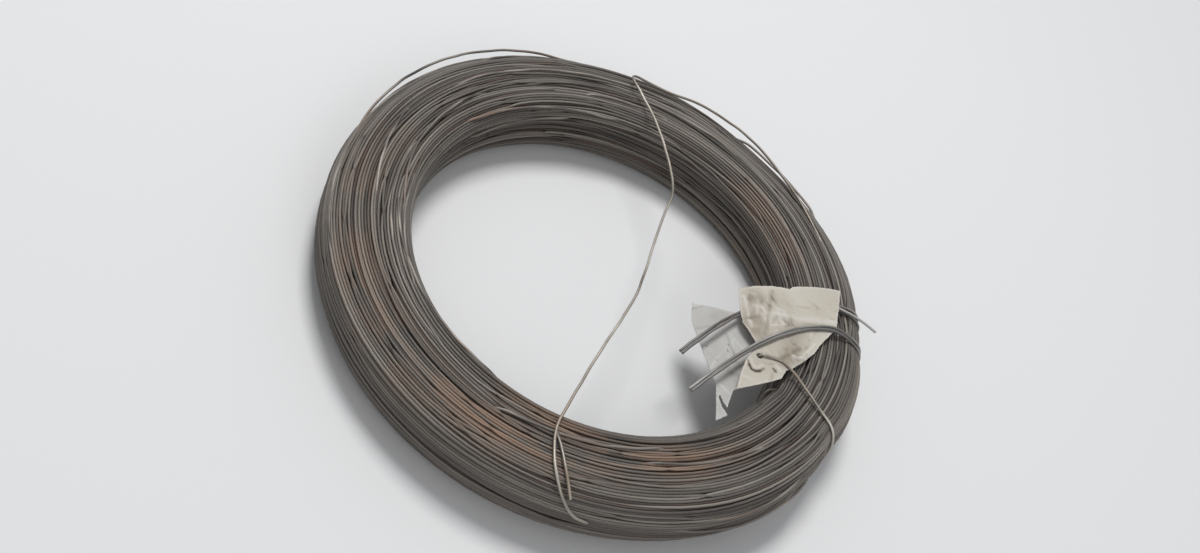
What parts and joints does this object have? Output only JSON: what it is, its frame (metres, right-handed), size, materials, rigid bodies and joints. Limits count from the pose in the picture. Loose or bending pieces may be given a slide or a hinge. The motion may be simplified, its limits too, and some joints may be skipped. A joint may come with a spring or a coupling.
{
  "type": "coil of wire",
  "caption": "Flat coil of annealed steel wire with doubled tie wires, a loose wire end across its bore and two blank card tags.",
  "frame": {"origin": "centre of the bore, half way up the coil", "axes": "+Z along the coil's axis, up as it lies; +X to the right and +Y to the back as seen from the front"},
  "size_m": [0.43, 0.43, 0.0685],
  "materials": {
    "coil_wire": "annealed, grey-brown with rust",
    "tie_wire": "annealed, dark grey",
    "bright_wire": "rubbed bright",
    "cream_card": "matte, creased and dirty",
    "white_card": "matte"
  },
  "bodies": {
    "root": {"wire_coil": "coil_wire", "tie_wire_1": "tie_wire", "tie_wire_2": "tie_wire", "tag_tie": "bright_wire", "loose_end": "bright_wire", "cream_tag": "cream_card", "white_tag": "white_card"}
  },
  "joints": []
}
